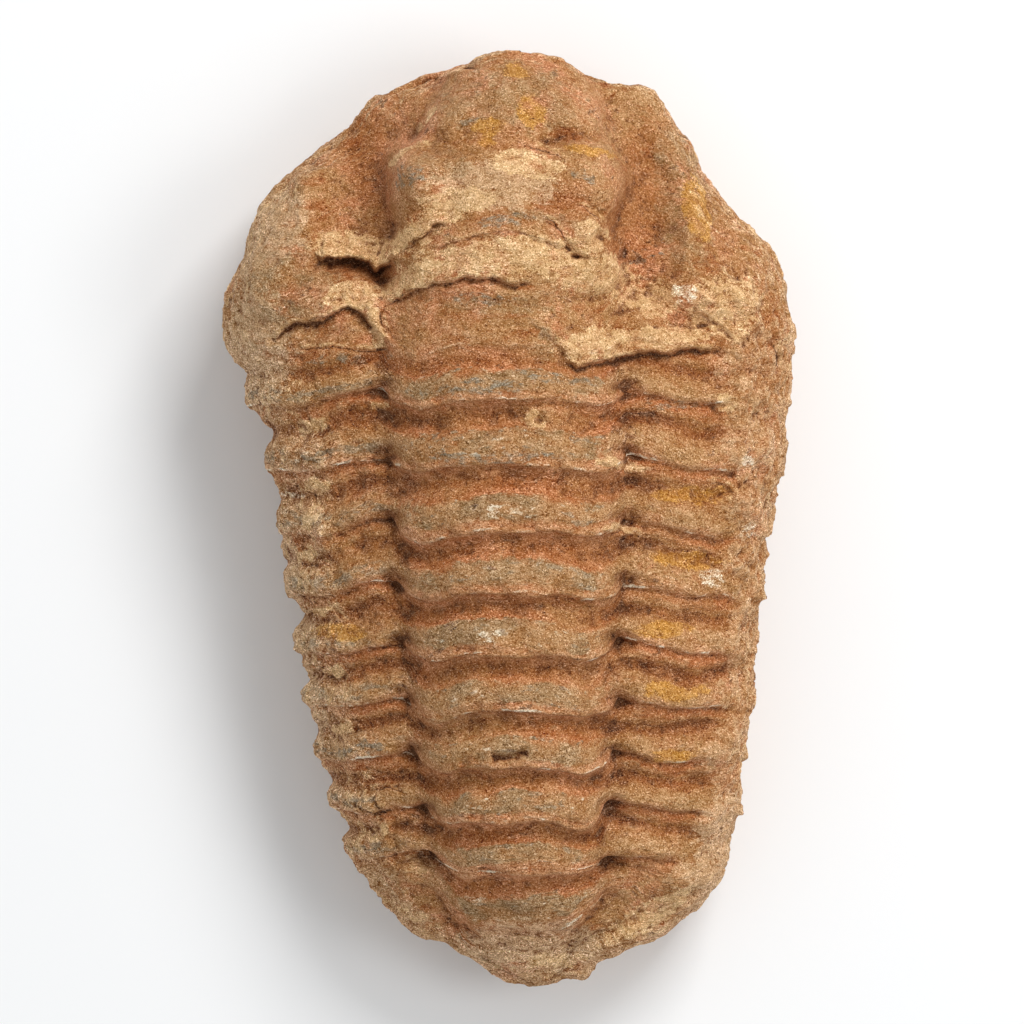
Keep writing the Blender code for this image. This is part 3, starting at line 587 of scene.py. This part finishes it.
# where the finishes lie: x, y, half width, half length, turn
patches = {
    "cream": [
        (-0.5, 27.7, 8.8, 2.0, 2), (-9.6, 25.7, 4.4, 1.3, 26), (-8.0, 31.2, 5.4, 1.3, 34),
        (-4.6, 34.1, 4.2, 1.3, 8), (2.4, 37.8, 3.6, 1.5, -10),
        (-15.6, 29.2, 4.8, 1.5, -6), (-16.0, 23.7, 2.7, 1.5, 8), (-13.9, 20.8, 0.8, 2.4, 12),
        (9.0, 29.8, 1.8, 1.7, 0), (9.6, 18.6, 4.6, 1.7, 6), (16.0, 19.4, 6.0, 1.1, 6),
        (23.2, 22.6, 4.0, 3.4, 0), (9.6, 25.8, 4.8, 2.4, -6), (15.4, 23.4, 3.6, 1.8, 0),
        (12.2, 5.7, 2.8, 0.5, -4), (12.6, -1.0, 2.0, 0.45, 0), (-13.5, 12.0, 1.0, 0.5, 0),
        (-20.5, 9.9, 1.4, 0.8, 0), (-20.2, 3.5, 1.6, 0.8, 0), (-21.3, -3.7, 1.2, 0.6, 20),
        (-19.8, -10.1, 1.0, 0.5, 0), (-18.3, -16.2, 1.2, 0.5, 0), (-17.2, -22.4, 1.2, 0.6, 0),
        (-13.4, -33.4, 1.3, 0.9, 0), (3.3, 10.6, 1.3, 1.0, 0), (23.6, 12.3, 1.2, 1.0, 0),
        # pale arcs along the knob's rim on the head: pale stone, and a painted highlight on the lit rim
        (-11.3, 38.3, 0.4, 1.7, -45), (-8.4, 39.7, 1.6, 0.35, 0), (-8.6, 42.8, 0.35, 2.0, -40),
        (5.4, -47.4, 3.0, 0.6, 10), (15.0, -42.6, 5.5, 1.3, 32), (-9.0, -36.9, 1.3, 1.1, 0)],
    "dull": [
        (0.5, 44.6, 7.0, 3.6, 0), (-22.5, 24.5, 4.5, 4.5, -20), (-6.4, 38.0, 2.6, 1.6, 0),
        (19.0, 34.5, 3.0, 7.0, 8), (4.4, 18.4, 1.0, 1.8, -20), (4.0, 31.8, 4.5, 0.8, -12),
        (-0.5, 22.6, 5.5, 0.9, 0)],
    "ochre": [
        (2.8, 43.2, 1.5, 1.7, 0), (-2.0, 41.8, 1.6, 0.9, 0), (1.4, 47.6, 1.6, 0.7, 0),
        (20.0, 2.7, 4.4, 0.9, 0), (19.6, -4.3, 3.6, 0.8, 0), (16.9, -11.7, 2.8, 0.9, 0),
        (18.0, -18.2, 3.2, 1.0, 0), (20.4, 33.0, 1.4, 3.6, 10), (-2.4, 40.2, 1.0, 0.6, 0),
        (9.0, 39.0, 3.0, 0.5, -10), (-17.5, -12.0, 3.0, 0.7, 0), (18.0, -25.0, 2.4, 0.7, 0)],
    "pale": [
        (-1.5, 35.6, 6.5, 2.6, 0), (3.0, -45.4, 8.0, 2.6, 0),
        (-26.4, 18.2, 3.6, 7.0, 0), (-22.8, -14.0, 2.6, 14.0, 8), 
        (-25.0, 30.0, 3.0, 5.0, -28), (23.0, -36.0, 3.0, 7.0, -20)],
    "grey": [
        (-9.9, 36.4, 1.4, 1.2, 20), (8.0, 36.2, 1.3, 0.6, -15), (0.0, 31.5, 2.6, 0.7, 0),
        (-2.0, 23.2, 3.0, 0.5, 0), (-4.0, 13.9, 5.0, 0.6, 4), (-1.0, 6.6, 6.5, 0.6, 0),
        (15.3, 27.8, 1.8, 0.3, 10), (-3.6, 42.6, 0.8, 0.6, 0), (19.0, 12.0, 3.5, 0.35, 3),
        (-17.0, 17.0, 4.0, 0.4, 0), (5.6, 14.6, 3.0, 0.4, -8), (-14.5, -24.6, 2.4, 0.5, 0)],
    "white": [
        (-1.0, 0.85, 1.1, 0.5, 0), (22.0, -6.4, 1.2, 0.8, 0), (-1.5, -12.6, 1.1, 0.5, 0),
        (26.0, 6.4, 0.6, 0.7, 0), (26.0, -1.1, 0.7, 0.8, 0), (-22.8, 2.5, 1.4, 0.25, 0),
        (19.0, 23.8, 1.4, 1.0, 0)],
    "rust": [
        (-14.6, 38.0, 2.4, 6.5, 14), (14.6, 35.0, 3.2, 8.0, -6), (27.8, 18.0, 2.6, 5.4, 0),
        (-16.4, 26.2, 4.4, 1.2, 0), (6.0, 34.6, 3.0, 1.6, 0), (12.0, 30.4, 2.6, 2.8, 0)],
}


def patchShare(x, y, places):
    share = np.zeros(len(x))
    for place in places:
        share = np.maximum(share, 1 - smoothStep(0.55, 1.45, spotRadius(x, y, *place)))
    return share


def nearestLine(x, y, lines):       # distance, below 0 on the right side; and a mask around it
    side = np.full(x.shape, 2.0)
    near = np.zeros(x.shape)
    for points, halfWidth, _ in lines:
        distance, turn, way = lineDistance(x, y, points, 1.0)
        closer = distance < np.abs(side)
        side = np.where(closer, np.where(turn > 0, distance, -distance), side)
        strength = (1 - smoothStep(0.4, 0.8, distance)) * smoothStep(0, 1.4, way) * halfWidth / 0.2
        near = np.where(closer, strength, near)
    return side, near


def hollowShare(mesh, rounds):      # above 0 in hollows, below 0 on bumps, in millimetres
    ends = np.empty(2 * len(mesh.edges), int)
    mesh.edges.foreach_get("vertices", ends)
    a, b = ends.reshape(-1, 2).T
    places = readPoints(mesh)
    friends = np.bincount(np.concatenate([a, b]), minlength=len(places))[:, None]
    soft = places.copy()
    for _ in range(rounds):
        total = np.column_stack([
            np.bincount(a, soft[b, k], len(places)) + np.bincount(b, soft[a, k], len(places))
            for k in range(3)])
        soft = 0.5 * soft + 0.5 * total / friends
    return ((soft - places) * readNormals(mesh)).sum(axis=1)


def paintMasks(mesh):       # one attribute for each finish, 0 to 1 and a little past
    places = readPoints(mesh)
    facingUp = readNormals(mesh)[:, 2]
    x, y, roughX, roughY = drawnPlaces(places)
    tailwards, across, _ = ringPlace(x, y)
    count, _, _ = ringCount(x, y)
    along = count % 1
    onAxis = 1 - smoothStep(0.92, 1.08, across)
    lastRib = rings["lastRib"]
    onBody = smoothStep(0.6, 1.6, count) * np.maximum(
        onAxis * smoothStep(-48, -45, y), smoothStep(lastRib - 3, lastRib, y))
    covered = crustShare(x, y)
    crest = smoothStep(0.38, 0.52, along) * (1 - smoothStep(0.76, 0.9, along))
    beside = 1 - smoothStep(0.08, 0.3, np.abs(across - 1.04))
    outer = stoneShare(x, y)
    lineSide, lineNear = nearestLine(roughX, roughY, cracks["lines"])
    print("stone: hollows and worn places")
    fineHollow = hollowShare(mesh, finish["fineRounds"])
    wideHollow = hollowShare(mesh, finish["wideRounds"])
    onTop = smoothStep(-0.2, 0.3, facingUp)
    masks = {
        "wide": rock(places, finish["wideSize"], 2, shifts["wide"]) * 1.4,
        "blotch": rock(places, finish["blotchSize"], 3, shifts["blotch"]) * 1.4,
        "strata": places[:, 2] - 1.2 * np.maximum(tailwards - rings["tailStart"], 0),
        "ring": count,
        "tailwards": tailwards,
        "onBody": onBody * (1 - 0.75 * covered) * onTop,
        "onAxis": onAxis,
        "crest": onBody * crest * (1 - smoothStep(0.6, 0.92, across)) * onTop,
        # along the axial furrows, where dirt and painted shade are added
        "beside": beside * smoothStep(-47, -40, y) * (1 - smoothStep(14, 20, y)) * onTop,
        "lineSide": lineSide,
        "lineNear": lineNear * onTop,
        # dirt and painted shade: darker in small and wide hollows, found by smoothing
        "dirtAndShade": np.clip(fineHollow * 5 + wideHollow * 0.35, 0, 1.5),
        "bare": np.clip(-fineHollow * 6 - wideHollow * 0.6, 0, 1.5),
        "crust": covered,
        # greyer rock on the steep sides and on the tail; the left side is also painted lighter to lift the
        # shade that falls there
        "flank": np.maximum.reduce([
            (1 - smoothStep(0.15, 0.7, facingUp)) * smoothStep(0.62, 0.84, outer),
            smoothStep(0.7, 0.88, outer) * (x < 0) * 0.7 * (1 - smoothStep(16, 24, y)),
            smoothStep(-43.0, -46.0, y) * 0.75]),
        "under": 1 - smoothStep(-0.6, 0.0, facingUp),
    }
    for name, spots in patches.items():
        masks[name] = patchShare(roughX, roughY, spots) * onTop
    for name, values in masks.items():
        layer = mesh.attributes.new(name, "FLOAT", "POINT")
        layer.data.foreach_set("value", values.astype(np.float32))


def tone(red, green, blue):     # a colour as a picture editor shows it
    return (red / 255, green / 255, blue / 255, 1.0)


finish = {
    "stone": tone(164, 114, 69),
    "pink": tone(182, 120, 80),
    "rose": tone(174, 105, 62),
    "tan": tone(168, 124, 79),
    "rust": tone(150, 88, 45),
    # dark soil colour, also used for painted shade in hollows, furrows and behind ring edges
    "soilAndShade": tone(112, 67, 36),
    "deep": tone(80, 49, 28),
    "cream": tone(212, 171, 121),
    "sand": tone(194, 152, 110),
    "ash": tone(204, 170, 132),
    "olive": tone(142, 112, 76),
    "slate": tone(112, 102, 86),
    "ochre": tone(186, 128, 52),
    "white": tone(226, 210, 184),
    "drab": tone(158, 115, 74),
    # from one edge (0) to the next (1)
    "ringBands": [(0.0, "rose"), (0.07, "pink"), (0.18, "rust"), (0.3, "rust"), (0.42, "rose"),
                  (0.55, "drab"), (0.78, "drab"), (0.88, "pink"), (1.0, "pink")],
    "ribBands": [(0.0, "rose"), (0.12, "rose"), (0.25, "stone"), (0.33, "rust"), (0.42, "rust"),
                 (0.54, "stone"), (0.7, "tan"), (0.85, "tan"), (1.0, "pink")],
    # sizes of the noise in millimetres, from wide clouds to grains of sand
    "wideSize": 11.0,
    "blotchSize": 4.2,
    "streakSize": 1.5,
    "mottleSize": 1.4,
    "layerSize": 0.8,
    "chipSize": 0.62,
    "grainSize": 0.1,
    "alongRings": 0.28,         # streaks are drawn out along the rings, layers still more
    "alongLayers": 0.1,
    "fineRounds": 6,            # rounds of smoothing that show small and wide hollows
    "wideRounds": 90,
    "gamma": 2.2,
    "roughness": 0.9,
    "bump": 0.00025,
    "leastColour": (0.02, 0.02, 0.02),
}


class Wire:     # a socket in the shader, so that its maths reads as plain expressions
    def __init__(self, tree, socket):
        self.tree = tree
        self.socket = socket

    def maths(self, operation, first, second=0.0, clamp=False):
        node = self.tree.nodes.new("ShaderNodeMath")
        node.operation = operation
        node.use_clamp = clamp
        for slot, value in zip(node.inputs, (first, second)):
            if isinstance(value, Wire):
                self.tree.links.new(value.socket, slot)
            else:
                slot.default_value = value
        return Wire(self.tree, node.outputs[0])

    def __add__(self, other):
        return self.maths("ADD", self, other)

    def __radd__(self, other):
        return self.maths("ADD", other, self)

    def __sub__(self, other):
        return self.maths("SUBTRACT", self, other)

    def __rsub__(self, other):
        return self.maths("SUBTRACT", other, self)

    def __mul__(self, other):
        return self.maths("MULTIPLY", self, other)

    def __rmul__(self, other):
        return self.maths("MULTIPLY", other, self)

    def clamped(self):
        return self.maths("ADD", self, 0.0, clamp=True)

    def fraction(self):
        return self.maths("FRACT", self)

    def size(self):
        return self.maths("ABSOLUTE", self)


class Shader:       # a material's nodes
    def __init__(self, name):
        self.material = bpy.data.materials.new(name)
        self.material.use_nodes = True
        self.tree = self.material.node_tree
        self.tree.nodes.clear()

    def add(self, kind, settings=None, sockets=None, output=0):
        node = self.tree.nodes.new(kind)
        for name, value in (settings or {}).items():
            setattr(node, name, value)
        for slot, value in (sockets or {}).items():
            if isinstance(value, Wire):
                self.tree.links.new(value.socket, node.inputs[slot])
            else:
                node.inputs[slot].default_value = value
        return Wire(self.tree, node.outputs[output]) if node.outputs else None

    def mix(self, factor, first, second, blend="MIX"):
        return self.add("ShaderNodeMix", {"data_type": "RGBA", "blend_type": blend, "clamp_factor": True},
                        {0: factor, 6: first, 7: second}, 2)

    def noise(self, place, size, detail=3.0, roughness=0.55):     # around 0, about -1 to 1
        value = self.add("ShaderNodeTexNoise", {"noise_dimensions": "3D"},
                         {"Vector": place, "Scale": 1 / size, "Detail": detail, "Roughness": roughness})
        return (value - 0.5) * 3.2

    def grains(self, place, size):      # one number for each grain, -1 to 1
        colour = self.add("ShaderNodeTexVoronoi", {"voronoi_dimensions": "3D"},
                          {"Vector": place, "Scale": 1 / size}, "Color")
        return self.add("ShaderNodeSeparateColor", sockets={0: colour}) * 2.0 - 1.0

    def mask(self, name):
        return self.add("ShaderNodeAttribute", {"attribute_name": name}, output=2)

    def stretched(self, place, scales):
        return self.add("ShaderNodeVectorMath", {"operation": "MULTIPLY"}, {0: place, 1: scales})

    def lifted(self, colour, step):     # the same step in red, green and blue
        return self.add("ShaderNodeVectorMath", {"operation": "ADD"}, {0: colour, 1: step})

    def bands(self, place, stops):
        node = self.tree.nodes.new("ShaderNodeValToRGB")
        ramp = node.color_ramp.elements
        for number, (position, _) in enumerate(stops):
            stop = ramp[number] if number < 2 else ramp.new(position)
            stop.position = position
        for stop, (_, name) in zip(ramp, stops):
            stop.color = finish[name]
        self.tree.links.new(place.socket, node.inputs[0])
        return Wire(self.tree, node.outputs[0])


def stoneFinish():
    shader = Shader("trilobiteStone")
    object = shader.add("ShaderNodeTexCoord", output=3)
    place = shader.add("ShaderNodeVectorMath", {"operation": "SCALE"}, {0: object, 3: 1 / mm})
    parts = shader.add("ShaderNodeSeparateXYZ", sockets={0: place})
    tailwards = shader.mask("tailwards")
    depth = shader.mask("strata")
    streaky = shader.add("ShaderNodeCombineXYZ", sockets={
        0: parts * finish["alongRings"], 1: tailwards, 2: depth * 0.6})
    strata = shader.add("ShaderNodeCombineXYZ", sockets={
        0: parts * finish["alongLayers"], 1: tailwards * 0.15, 2: depth})
    wide = shader.mask("wide")
    blotch = shader.mask("blotch")
    streak = shader.noise(streaky, finish["streakSize"], 3.0, 0.65)
    layer = shader.noise(strata, finish["layerSize"], 2.0, 0.75)
    mottle = shader.noise(place, finish["mottleSize"], 3.0, 0.65)
    shorter = shader.stretched(streaky, (1.7, 1.0, 1.0))
    chip = shader.noise(shorter, finish["chipSize"], 3.0, 0.6)
    sandGrain = shader.grains(place, finish["grainSize"])
    eaten = mottle * 0.45 + streak * 0.35 + chip * 0.45 + sandGrain * 0.12

    def broken(name, spread=0.6, sharp=5.0):      # a mask whose border is eaten by the noise
        mask = shader.mask(name)
        return ((mask - 0.5 + eaten * spread) * sharp + 0.5).clamped() * (mask * 3.0).clamped()

    terraces = (streak * 1.5).fraction()
    flaking = (blotch * 1.3 + shader.mask("flank") * 0.5 + 0.35).clamped()
    ragged = streak * 0.018 + mottle * 0.012 + chip * 0.028
    ring = shader.mask("ring")
    crisp = (ring + ragged).fraction()
    soft = (ring + streak * 0.04 + blotch * 0.05 + wide * 0.03 + ragged * 2.0).fraction()
    onAxis = shader.mask("onAxis")
    onBody = shader.mask("onBody")
    onRibs = onBody * (1.0 - onAxis)
    lineNear = shader.mask("lineNear")
    lineSide = shader.mask("lineSide") + chip * 0.06 + mottle * 0.06
    # painted shadow along each crack
    line = ((lineNear * 0.09 - lineSide.size()) * 16.0).clamped()
    raw = (1.0 - (lineSide - 0.42).size() * 3.4).clamped() * (lineNear * 1.6).clamped()
    lip = ((crisp - 0.96) * 50.0).clamped() * onBody
    lip = lip * (streak * 1.5 + chip * 2.2 + blotch * 0.8 - 0.1).clamped()
    # painted shadow just behind each ring's rear edge
    under = (1.0 - crisp * 22.0).clamped() * onBody

    def over(colour, share, name):
        return shader.mix(share, colour, finish[name])

    # the stone itself, lighter and darker, redder and yellower
    colour = shader.mix((blotch * 1.2 + mottle * 0.6 + 0.45).clamped(), finish["stone"], finish["pink"])
    colour = over(colour, (mottle * 1.4 + wide * 0.7 + 0.2).clamped() * 0.9, "tan")
    colour = over(colour, (streak * 2.0 - blotch * 0.7 - 0.3).clamped() * 0.9, "rust")
    colour = over(colour, broken("rust", 1.0, 2.5) * 0.5, "rust")
    body = shader.mix(onAxis, shader.bands(soft, finish["ribBands"]), shader.bands(soft, finish["ringBands"]))
    colour = shader.mix(onBody * (0.6 + mottle * 0.5 - wide * 0.35).clamped(), colour, body)
    # the sides in ash: greyer rock, and on the left painted light that lifts the shade
    flank = broken("flank", 0.9, 2.4)
    colour = over(colour, flank * 0.36, "ash")
    # the rib furrows darker: dirt there, and painted shade
    furrow = onRibs * ((0.15 - (soft - 0.35).size()) * 9.0).clamped()
    colour = over(colour, furrow * (0.6 + blotch * 0.8 + streak * 0.5).clamped() * 0.6, "soilAndShade")
    colour = over(colour, broken("pale", 1.2, 2.4) * 0.6, "ash")
    colour = over(colour, broken("crust", 1.0, 2.4) * (0.5 + mottle).clamped() * 0.85, "sand")
    colour = over(colour, broken("under", 0.8, 1.5) * 0.5, "sand")
    crest = broken("crest", 0.9, 3.0)
    colour = over(colour, crest * (0.5 + blotch * 1.4 + streak).clamped() * 0.8, "olive")
    colour = over(colour, crest * ((streak + chip * 1.2 - 0.5) * 4.0).clamped() * 0.55, "slate")
    colour = over(colour, crest * ((chip * 0.7 - streak * 1.0 - 0.55) * 5.0).clamped() * 0.8, "white")
    ribCrest = onRibs * ((0.14 - (soft - 0.8).size()) * 12.0).clamped()
    leftSide = (parts * -0.2 - 1.8).clamped()
    colour = over(colour, ribCrest * leftSide * ((streak + chip * 0.6 + 0.1) * 3.0).clamped() * 0.6, "slate")
    colour = over(colour, broken("bare", 0.8, 2.0) * 0.3, "sand")
    dull = broken("dull", 1.2, 2.0) * (0.5 + mottle * 0.6 + streak * 0.4).clamped()
    colour = over(colour, dull * 0.7, "olive")
    colour = over(colour, broken("ochre", 1.0, 3.5) * (0.6 + mottle * 0.5).clamped(), "ochre")
    strip = layer * 0.8 + streak * 0.3 + mottle * 0.4 + chip * 0.2
    colour = over(colour, flank * ((strip - 0.15) * 3.0).clamped() * 0.8, "cream")
    colour = over(colour, flank * ((-0.3 - strip) * 3.0).clamped() * 0.85, "soilAndShade")
    # chips and streaks in the colours of the rock
    colour = over(colour, ((streak + chip * 0.4 - 0.55) * 5.0).clamped() * 0.4, "olive")
    colour = over(colour, ((mottle + chip * 0.3 - streak * 0.5 - 0.55) * 5.0).clamped() * 0.35, "pink")
    colour = over(colour, ((chip + mottle * 0.4 + blotch * 0.5 - 0.75) * 8.0).clamped() * 0.5, "deep")
    colour = over(colour, ((wide * 0.4 - chip - mottle * 0.3 - 0.6) * 7.0).clamped() * 0.25, "sand")
    colour = over(colour, broken("cream", 1.2, 3.0) * (0.7 + mottle * 0.5).clamped(), "cream")
    colour = over(colour, broken("grey", 1.6, 3.0) * (0.4 + chip * 1.5).clamped() * 0.65, "slate")
    chalky = broken("white", 1.8, 3.0) * (0.45 + sandGrain * 0.4 + chip * 1.2).clamped()
    colour = over(colour, chalky * 0.8, "white")
    # dirt and painted shade in the hollows, painted shadow in the thin lines and behind the ring edges, and
    # pale broken edges
    # dirt and painted shade in the hollows and along the axial furrows
    dirtAndShade = shader.mask("dirtAndShade") + broken("beside", 0.9, 2.0) * 0.3 + mottle * 0.2 + chip * 0.25
    colour = over(colour, ((dirtAndShade - 0.3) * 1.8).clamped() * 0.72, "soilAndShade")
    colour = over(colour, ((dirtAndShade - 0.95) * 5.0).clamped() * 0.6, "deep")
    # painted shadow behind each ring edge
    colour = over(colour, under * (0.4 + streak + chip).clamped() * 0.75, "soilAndShade")
    colour = over(colour, lip * (0.5 + blotch * 0.6 + chip * 0.5).clamped() * 0.9, "white")
    colour = over(colour, raw * (0.7 + streak * 0.7 + chip).clamped() * 0.85, "cream")
    # painted shadow in the cracks
    colour = over(colour, line * 0.75, "deep")
    # thin layers with a painted highlight along each edge above a painted shade, and grains of sand
    layerEdge = ((terraces - 0.86) * 12.0).clamped() * 0.16 - (1.0 - terraces * 9.0).clamped() * 0.2
    grainAndFlakeShading = flaking * (layerEdge + terraces * 0.05 - 0.02)
    grainAndFlakeShading = grainAndFlakeShading + sandGrain * 0.18 + ((sandGrain.size() - 0.8) * 5.0).clamped() * sandGrain * 0.2
    grainAndFlakeShading = grainAndFlakeShading + chip * 0.09 + streak * 0.035 + mottle * 0.035 - 0.005
    colour = shader.lifted(colour, grainAndFlakeShading * (0.75 + shader.mask("flank") * 0.35))
    colour = shader.add("ShaderNodeVectorMath", {"operation": "MAXIMUM"},
                        {0: colour, 1: finish["leastColour"]})
    colour = shader.add("ShaderNodeGamma", sockets={0: colour, 1: finish["gamma"]})

    normal = shader.add("ShaderNodeBump", sockets={
        "Strength": 1.0, "Distance": finish["bump"], "Height": chip * 0.5})
    surface = shader.add("ShaderNodeBsdfPrincipled", sockets={
        "Base Color": colour, "Roughness": finish["roughness"], "Normal": normal, "Specular IOR Level": 0.25})
    shader.add("ShaderNodeOutputMaterial", sockets={"Surface": surface})
    return shader.material


studio = {
    "floorColour": (0.91, 0.91, 0.91, 1.0),
    "frameWidth": 109.3,        # millimetres across the picture at the stone's widest level
    "level": 12.0,
    "lens": 500.0,
    "offset": (0.27, 0.8),      # the picture's centre from the stone's
    "ground": 3.0,
    # place in millimetres, size, power
    "lamps": [((270, 470, 560), 320, 3.65), ((440, -20, 600), 260, 1.0), ((-420, -300, 600), 500, 0.1)],
    "sky": 0.57,
}


def makeStudio():
    floorMesh = bpy.data.meshes.new("floor")
    body = bmesh.new()
    bmesh.ops.create_grid(body, x_segments=1, y_segments=1, size=studio["ground"])
    body.to_mesh(floorMesh)
    body.free()
    floor = bpy.data.objects.new("floor", floorMesh)
    bpy.context.collection.objects.link(floor)
    shader = Shader("paleFloor")
    place = shader.add("ShaderNodeTexCoord", output=3)
    paper = shader.noise(place, 0.02, 2.0) * 0.01 + 0.9
    surface = shader.add("ShaderNodeBsdfPrincipled", sockets={
        "Base Color": studio["floorColour"], "Roughness": paper, "Specular IOR Level": 0.2})
    shader.add("ShaderNodeOutputMaterial", sockets={"Surface": surface})
    floorMesh.materials.append(shader.material)

    centre = (Vector(cadBox[0]) + Vector(cadBox[1])) / 2
    for number, (place, size, power) in enumerate(studio["lamps"]):
        lamp = bpy.data.lights.new("softbox" + str(number), "AREA")
        lamp.size = size * mm
        lamp.energy = power
        holder = bpy.data.objects.new("softbox" + str(number), lamp)
        holder.location = Vector(place) * mm
        holder.rotation_euler = (centre - holder.location).to_track_quat("-Z", "Y").to_euler()
        bpy.context.collection.objects.link(holder)

    world = bpy.data.worlds.new("studio")
    world.use_nodes = True
    sky = world.node_tree.nodes["Background"]
    sky.inputs["Color"].default_value = (0.95, 0.98, 1, 1)
    sky.inputs["Strength"].default_value = studio["sky"]
    bpy.context.scene.world = world

    lens = bpy.data.cameras.new("overhead")
    lens.lens = studio["lens"]
    lens.clip_end = 100
    camera = bpy.data.objects.new("overhead", lens)
    offX, offY = studio["offset"]
    distance = studio["frameWidth"] * studio["lens"] / lens.sensor_width
    camera.location = (centre.x + offX * mm, centre.y + offY * mm, (studio["level"] + distance) * mm)
    bpy.context.collection.objects.link(camera)
    bpy.context.scene.camera = camera
    bpy.context.scene.view_settings.view_transform = "Standard"


print("camera, floor and light")
makeStudio()

print("stone")
trilobite = makeStone()
paintMasks(trilobite.data)
writePoints(trilobite.data, fitted(readPoints(trilobite.data)))
trilobite.data.materials.append(stoneFinish())
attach(trilobite, "root")
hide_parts("trilobite_fossil")
